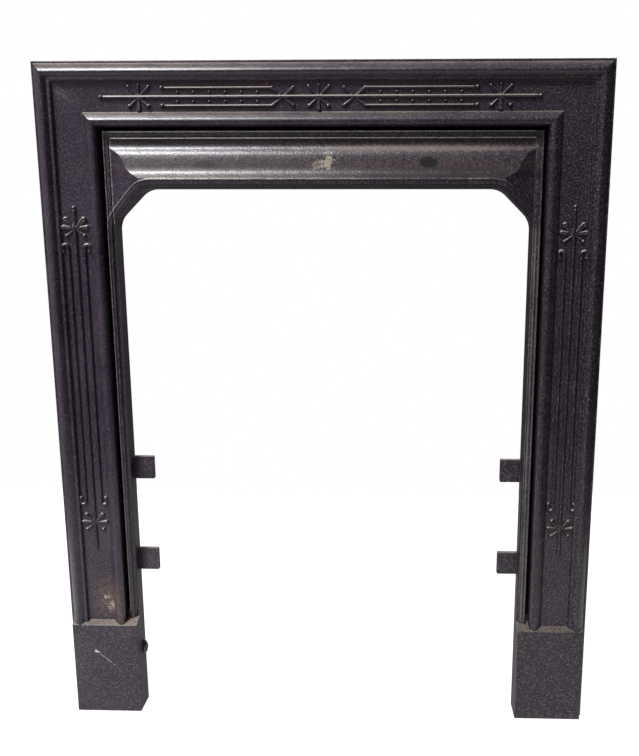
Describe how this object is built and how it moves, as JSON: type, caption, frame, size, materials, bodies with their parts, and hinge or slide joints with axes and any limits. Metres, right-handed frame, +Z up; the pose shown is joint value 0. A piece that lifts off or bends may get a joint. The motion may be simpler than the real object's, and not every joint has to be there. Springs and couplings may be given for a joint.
{
  "type": "fireplace surround",
  "caption": "Cast-iron fireplace surround with moulded jambs, lintel, splayed hood over the hearth, plain plinth blocks and low panel ornament.",
  "frame": {"origin": "on the floor under the middle of the casting's box, midway between the two feet", "axes": "+Z up, +X to the right seen from the room, +Y towards the wall behind the casting"},
  "size_m": [0.762, 0.042, 0.934],
  "materials": {
    "blacked_cast_iron": "old black stove paint over sand-cast iron, satin, grainy, dusty tan on ledges and worn to bare grey in places"
  },
  "bodies": {
    "root": {"surround_casting": "blacked_cast_iron"}
  },
  "joints": []
}
